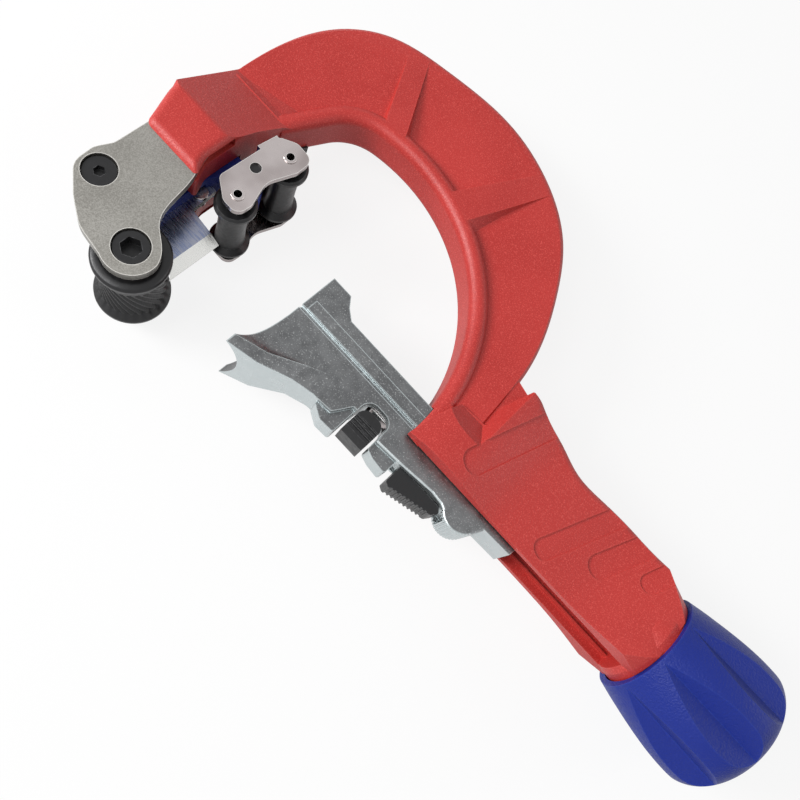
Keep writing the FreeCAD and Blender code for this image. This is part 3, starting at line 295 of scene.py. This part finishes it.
# Die cast carriage: zinc casting, tumbled and chromated. Its colour is kept dark grey as a painted reflection
# of a dark room, with fine bright grains and faint flow marks; the drafted walls towards the grip's open side
# get a pale painted reflection of the key light, and all edges are paler.
CAST_DARK_ROOM_REFLECTION = (0.125, 0.128, 0.132, 1.0)
CAST_GREY_ROOM_REFLECTION = (0.195, 0.200, 0.204, 1.0)
CAST_GRAIN = (0.42, 0.43, 0.43, 1.0)
CAST_PALE_REFLECTION_AND_EDGE = (0.60, 0.66, 0.67, 1.0)
FLOWED_ALONG_X = (0.5, 1.0, 1.0)
PAINTED_REFLECTION_SIDE = (0.0, -1.0, 0.0)
cast = Finish("bright_die_casting")
flow = cast.noise(scale=70.0, detail=4.0, stretch=FLOWED_ALONG_X)
ripple = cast.noise(scale=420.0, detail=3.0)
grit = cast.noise(scale=2600.0, detail=3.0)
pits = cast.ramp(cast.cells(scale=900.0), low=0.0, high=0.25)
cast_colour = cast.mix(cast.ramp(flow * 0.6 + ripple * 0.4, low=0.38, high=0.62), CAST_DARK_ROOM_REFLECTION, CAST_GREY_ROOM_REFLECTION)
cast_colour = cast.mix(cast.ramp(grit, low=0.58, high=0.74), cast_colour, CAST_GRAIN)
# Faces that look towards the open side turn pale cyan: a painted reflection of the key light.
cast_colour = cast.mix(cast.facing(PAINTED_REFLECTION_SIDE, low=0.15, high=0.75) * 0.9, cast_colour, CAST_PALE_REFLECTION_AND_EDGE)
cast_colour = cast.mix(cast.edges(radius=0.0005) * 0.8, cast_colour, CAST_PALE_REFLECTION_AND_EDGE)
die_cast = cast.surface(Base_Color=cast_colour, Metallic=0.92,
                        Roughness=cast.roughness(ripple, in_hollows=0.26, on_crests=0.40),
                        Normal=cast.bump(flow + ripple * 0.4 + pits * 0.15, strength=0.22, distance=0.0005))
paint(["carriage_casting"], die_cast)

# Sintered bronze of the drive roller's bush, speckled by its pores.
BRONZE_DARK = (0.34, 0.20, 0.08, 1.0)
BRONZE_LIGHT = (0.46, 0.29, 0.12, 1.0)
sintered = Finish("sintered_bronze")
pores = sintered.noise(scale=2500.0)
bronze_colour = sintered.mix(sintered.ramp(pores, low=0.4, high=0.6), BRONZE_DARK, BRONZE_LIGHT)
bronze = sintered.surface(Base_Color=bronze_colour, Metallic=0.9,
                          Roughness=sintered.roughness(pores, in_hollows=0.4, on_crests=0.6))
paint(["drive_bush"], bronze)

# Turned pieces. They are measured in millimetres from the drawing's own origin, which lies here in the frame.
ORIGIN = Vector((-7.344006, -17.177913, 0.0))
SAME_CORNER = 0.0001


def turned(name, profile, along, across, at, steps, shape):
    """Closed profile of (radius, height) pairs, spun round the axis along, with angles counted from across.

    shape gives each corner's new radius from its radius, height and angle."""
    mesh = bpy.data.meshes.new(name)
    turning = bmesh.new()
    corners = [turning.verts.new(across * radius + along * height) for radius, height in profile]
    ring = [turning.edges.new(pair) for pair in zip(corners, corners[1:] + corners[:1])]
    bmesh.ops.spin(turning, geom=corners + ring, cent=(0, 0, 0), axis=along, angle=math.tau, steps=steps)
    bmesh.ops.remove_doubles(turning, verts=turning.verts, dist=SAME_CORNER)
    other = along.cross(across)
    for corner in turning.verts:
        height = corner.co.dot(along)
        flat = corner.co - along * height
        angle = math.atan2(flat.dot(other), flat.dot(across))
        corner.co = along * height + flat * (shape(flat.length, height, angle) / flat.length)
    bmesh.ops.recalc_face_normals(turning, faces=turning.faces)
    bmesh.ops.scale(turning, verts=turning.verts, vec=(MM, MM, MM))
    bmesh.ops.translate(turning, verts=turning.verts, vec=(Vector(at) + ORIGIN) * MM)
    for face in turning.faces:
        face.smooth = True
    turning.to_mesh(mesh)
    turning.free()
    made = bpy.data.objects.new(name, mesh)
    bpy.context.scene.collection.objects.link(made)
    return made


# Drive roller: turned from steel, with a helical knurl rolled into its dished waist and a smooth band by the
# upper flange. The flanges slope down to the waist at 45 degrees, and the knurl's twist is in radians per
# millimetre.
DRIVE_AT = (-73.35, -33.0, 0.0)
DRIVE_BORE = 4.4
DRIVE_WAIST = 7.6
DRIVE_DISH = 0.5
DRIVE_FLANGE = 9.35
DRIVE_RIM = 1.6
DRIVE_CHAMFER = 0.6
DRIVE_HALF = 10.4
DRIVE_SHOULDER = DRIVE_HALF - DRIVE_RIM - (DRIVE_FLANGE - DRIVE_WAIST - DRIVE_DISH)
WAIST_STEPS = 34
BORE_WALL = 0.5
KNURL_TEETH = 26
KNURL_TWIST = 0.085
KNURL_TOP = 3.6
KNURL_MARGIN = 0.2
KNURL_DEPTH = 0.85
KNURL_FLANK = 1.5
STEPS_PER_TOOTH = 10
drive_profile = [(DRIVE_BORE, -DRIVE_HALF), (DRIVE_FLANGE - DRIVE_CHAMFER, -DRIVE_HALF),
                 (DRIVE_FLANGE, -DRIVE_HALF + DRIVE_CHAMFER), (DRIVE_FLANGE, -DRIVE_HALF + DRIVE_RIM)]
for step in range(WAIST_STEPS + 1):
    height = DRIVE_SHOULDER * (2.0 * step / WAIST_STEPS - 1.0)
    drive_profile.append((DRIVE_WAIST + DRIVE_DISH * (height / DRIVE_SHOULDER) ** 2, height))
drive_profile += [(DRIVE_FLANGE, DRIVE_HALF - DRIVE_RIM), (DRIVE_FLANGE, DRIVE_HALF - DRIVE_CHAMFER),
                  (DRIVE_FLANGE - DRIVE_CHAMFER, DRIVE_HALF), (DRIVE_BORE, DRIVE_HALF)]


def knurl(radius, height, angle):
    in_bore = radius < DRIVE_BORE + BORE_WALL
    if in_bore or abs(height) > DRIVE_SHOULDER - KNURL_MARGIN or height > KNURL_TOP:
        return radius
    phase = (angle + height * KNURL_TWIST) * KNURL_TEETH / math.tau % 1.0
    tooth = 1.0 - abs(2.0 * phase - 1.0)
    return radius - KNURL_DEPTH * (1.0 - min(1.0, KNURL_FLANK * tooth))


drive_roller = turned("drive_roller_knurled", drive_profile, Vector((0, 0, 1)), Vector((1, 0, 0)), DRIVE_AT,
                      KNURL_TEETH * STEPS_PER_TOOTH, knurl)
drive_roller.data.materials.append(black_steel)
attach(drive_roller, "drive")
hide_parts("drive_roller")

# Spindle: bright steel rod, centred at both ends, with its thread rolled on where the feed bar runs and the
# retaining ring's groove beyond it.
SPINDLE_AT = (0.0, 0.0, 0.0)
SPINDLE_CENTRE = 0.8
SPINDLE_RADIUS = 3.0
SPINDLE_CHAMFER = 0.6
SPINDLE_START = 12.0
SPINDLE_END = 103.0
SPINDLE_STEPS = 40
THREAD_END = 70.0
THREAD_RUNOUT = 1.0
THREAD_PITCH = 1.5
THREAD_DEPTH = 0.7
THREAD_STEP = THREAD_PITCH / 8
OUTER_SKIN = 0.01
GROOVE_START = 74.2
GROOVE_END = 75.1
GROOVE_RADIUS = 2.5
spindle_profile = [(SPINDLE_CENTRE, SPINDLE_START), (SPINDLE_RADIUS - SPINDLE_CHAMFER, SPINDLE_START)]
for step in range(int((THREAD_END - SPINDLE_START - THREAD_RUNOUT) / THREAD_STEP)):
    spindle_profile.append((SPINDLE_RADIUS, SPINDLE_START + SPINDLE_CHAMFER + THREAD_STEP * step))
spindle_profile += [(SPINDLE_RADIUS, GROOVE_START), (GROOVE_RADIUS, GROOVE_START),
                    (GROOVE_RADIUS, GROOVE_END), (SPINDLE_RADIUS, GROOVE_END),
                    (SPINDLE_RADIUS, SPINDLE_END), (SPINDLE_CENTRE, SPINDLE_END)]


def thread(radius, height, angle):
    if radius < SPINDLE_RADIUS - OUTER_SKIN or height > THREAD_END:
        return radius
    phase = (height / THREAD_PITCH - angle / math.tau) % 1.0
    return radius - THREAD_DEPTH * abs(2.0 * phase - 1.0)


spindle = turned("spindle_threaded", spindle_profile, Vector((1, 0, 0)), Vector((0, 1, 0)), SPINDLE_AT,
                 SPINDLE_STEPS, thread)
spindle.data.materials.append(bright_steel)
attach(spindle, "knob_group")
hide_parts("spindle")

# Floor: a plain pale sheet. The camera and reflections see white, and it keeps the tool's soft shadow.
FLOOR_HALF = 3.0
FLOOR_GAP = 0.0004
FLOOR_COLOUR = (0.86, 0.86, 0.86, 1.0)
FLOOR_ROUGHNESS = 0.9
WHITE = (1.0, 1.0, 1.0, 1.0)
WHITE_FOR_CAMERA = 0.86
WHITE_IN_REFLECTIONS = 0.6
floor_mesh = bpy.data.meshes.new("floor")
floor_shape = bmesh.new()
bmesh.ops.create_grid(floor_shape, x_segments=1, y_segments=1, size=FLOOR_HALF)
bmesh.ops.translate(floor_shape, verts=floor_shape.verts, vec=(0.0, 0.0, cad_box[0][2] - FLOOR_GAP))
floor_shape.to_mesh(floor_mesh)
floor_shape.free()
floor = bpy.data.objects.new("floor", floor_mesh)
bpy.context.scene.collection.objects.link(floor)
sheet = Finish("pale_floor")
floor_mesh.materials.append(sheet.surface(Base_Color=FLOOR_COLOUR, Roughness=FLOOR_ROUGHNESS))
pale = Value(sheet, sheet.shader.outputs[0])
white = sheet.node("ShaderNodeEmission", {}, {"Color": WHITE, "Strength": 1.0})
whiteness = sheet.ray("Camera") * WHITE_FOR_CAMERA + sheet.ray("Glossy") * WHITE_IN_REFLECTIONS
whiteness = (whiteness + sheet.ray("Transmission")).clamp()
mixed = sheet.node("ShaderNodeMixShader", {}, {0: whiteness, 1: pale, 2: white})
sheet.put(sheet.tree.nodes["Material Output"].inputs["Surface"], mixed)

# Studio light: a soft panel low on the head's side as the key, a broad one over the tool and a weak one from
# behind. The camera and the metal see a white room, which lights the matt pieces only faintly.
ROOM_FILL = 0.20
world = bpy.data.worlds.new("studio")
world.use_nodes = True
room = Nodes(world.node_tree)
room_seen = (room.ray("Camera") + room.ray("Glossy") + room.ray("Transmission")).clamp()
backdrop = world.node_tree.nodes["Background"]
room.put(backdrop.inputs["Color"], WHITE)
room.put(backdrop.inputs["Strength"], room_seen * (1.0 - ROOM_FILL) + ROOM_FILL)
bpy.context.scene.world = world
LAMPS = [("key_panel", (-0.62, -0.42, 0.42), 0.30, 6.0), ("over_panel", (-0.30, -0.55, 0.80), 0.45, 4.2),
         ("back_panel", (0.60, 0.45, 0.45), 0.4, 1.2)]
for lamp_name, spot, size, power in LAMPS:
    lamp_data = bpy.data.lights.new(lamp_name, "AREA")
    lamp_data.size = size
    lamp_data.energy = power
    lamp = bpy.data.objects.new(lamp_name, lamp_data)
    lamp.location = spot
    lamp.rotation_euler = (-Vector(spot)).to_track_quat("-Z", "Y").to_euler()
    bpy.context.scene.collection.objects.link(lamp)
